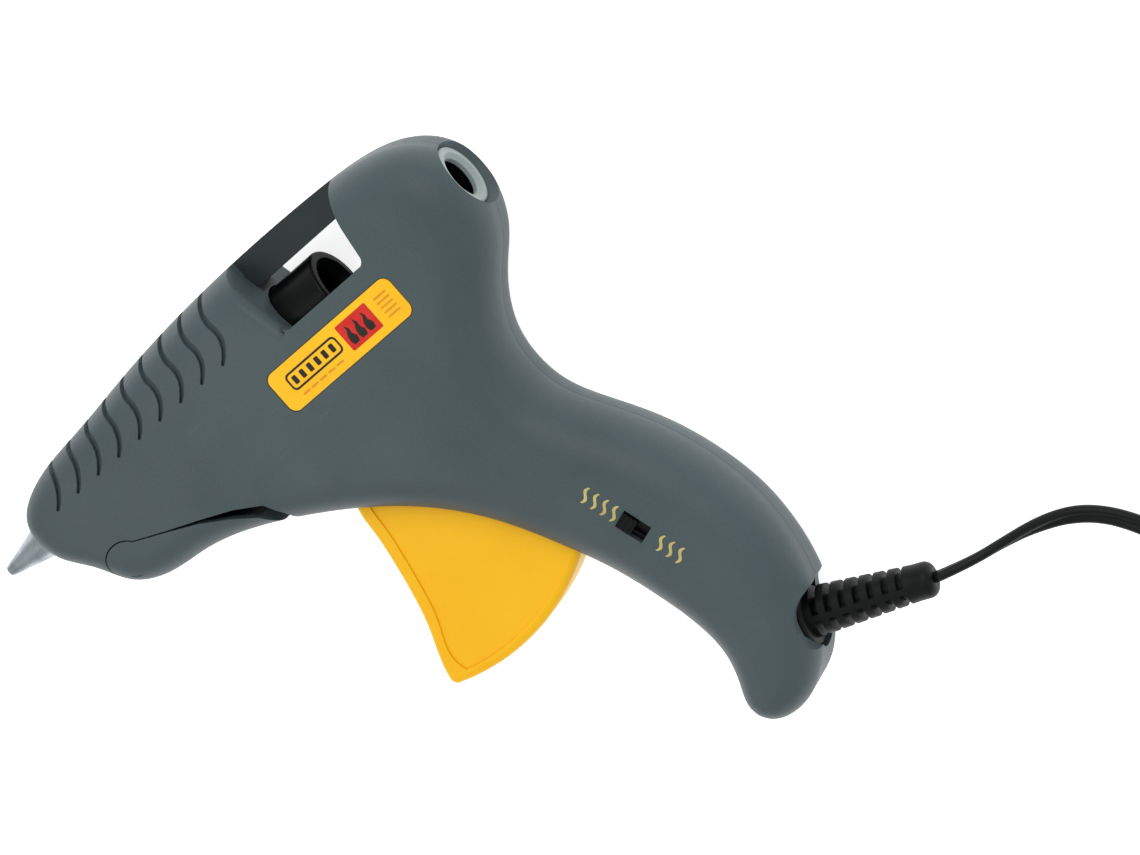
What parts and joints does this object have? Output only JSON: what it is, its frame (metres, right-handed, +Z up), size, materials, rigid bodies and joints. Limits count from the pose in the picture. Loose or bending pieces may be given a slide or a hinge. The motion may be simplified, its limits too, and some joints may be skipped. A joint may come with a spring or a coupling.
{
  "type": "hot glue gun",
  "caption": "Trigger-fed hot glue gun lying on its side, with a fold-out stand, a heat switch, a strain relief and a coiled flat cord with a two-pin plug.",
  "frame": {"origin": "middle of the bounding box of the gun without its cord, on the plane it lies on", "axes": "+Z up, out of the switch side as the gun lies on its other side; +X back along the barrel, away from the nozzle; +Y towards the top of the barrel"},
  "size_m": [0.3572, 0.2669, 0.0349],
  "materials": {
    "grey_plastic": "fine satin texture",
    "yellow_plastic": "satin",
    "label_film": "printed film",
    "black_plastic": "satin",
    "black_vinyl": "soft vinyl",
    "inlet_plastic": "satin",
    "nozzle_metal": "turned",
    "chamber_metal": "cast",
    "steel": "plated",
    "silicone": "soft",
    "heater_foil": "foil wrapped",
    "brown_wire": "insulation",
    "blue_wire": "insulation",
    "plug_brass": "plated"
  },
  "bodies": {
    "casing": {"switch_side_casing": "grey_plastic", "far_side_casing": "grey_plastic", "label_plate": "label_film", "casing_screws": "steel", "trigger_pin": "steel", "trigger_spring": "steel", "stand_pin": "steel", "nozzle": "nozzle_metal", "valve_spring": "steel", "melt_chamber": "chamber_metal", "ptc_heater": "heater_foil", "heater_clip": "steel", "inlet_sleeve": "silicone", "stick_guide": "black_plastic", "inlet_ring": "inlet_plastic", "switch_body": "black_plastic", "strain_relief": "black_vinyl", "live_wire": "brown_wire", "neutral_wire": "blue_wire", "cord_clamp": "black_plastic", "cord": "black_vinyl", "cord_coil": "black_vinyl", "cord_tie": "black_plastic", "cord_tail": "black_vinyl", "plug_body": "black_vinyl", "plug_blades": "plug_brass"},
    "trigger": {"trigger": "yellow_plastic"},
    "carriage": {"stick_carriage": "black_plastic", "drive_pin": "steel", "gripper_pin": "steel"},
    "gripper": {"stick_gripper": "steel"},
    "stand": {"fold_out_stand": "grey_plastic"},
    "slider": {"switch_slider": "black_plastic"},
    "valve": {"valve_ball": "steel"}
  },
  "joints": [
    {"name": "trigger_pull", "type": "hinge", "parent": "casing", "child": "trigger", "pos_m": [-0.00004, 0.03263, 0.017], "axis": [0, 0, 1], "range_deg": [0, 26], "stiffness_Nm_per_rad": 0.15, "springref_deg": -20.05, "deforming": ["trigger_spring"]},
    {"name": "carriage_feed", "type": "slide", "parent": "casing", "child": "carriage", "axis": [-1, 0, 0], "range_m": [0, 0.0114]},
    {"name": "gripper_bite", "type": "hinge", "parent": "carriage", "child": "gripper", "pos_m": [0.01396, 0.06343, 0.017], "axis": [0, 0, -1], "range_deg": [0, 6.2]},
    {"name": "stand_fold", "type": "hinge", "parent": "casing", "child": "stand", "pos_m": [-0.06604, 0.05063, 0.017], "axis": [0, 0, -1], "range_deg": [0, 85]},
    {"name": "switch_slide", "type": "slide", "parent": "casing", "child": "slider", "axis": [0.309, -0.9511, 0], "range_m": [0, 0.0036]},
    {"name": "valve_lift", "type": "slide", "parent": "casing", "child": "valve", "axis": [-1, 0, 0], "range_m": [0, 0.001], "stiffness_N_per_m": 120, "springref_m": -0.001, "deforming": ["valve_spring"]}
  ],
  "couplings": [
    {"joint": "carriage_feed", "follows": "trigger_pull", "m_per_rad": 0.0244},
    {"joint": "gripper_bite", "follows": "trigger_pull", "ratio": 0.23077}
  ]
}
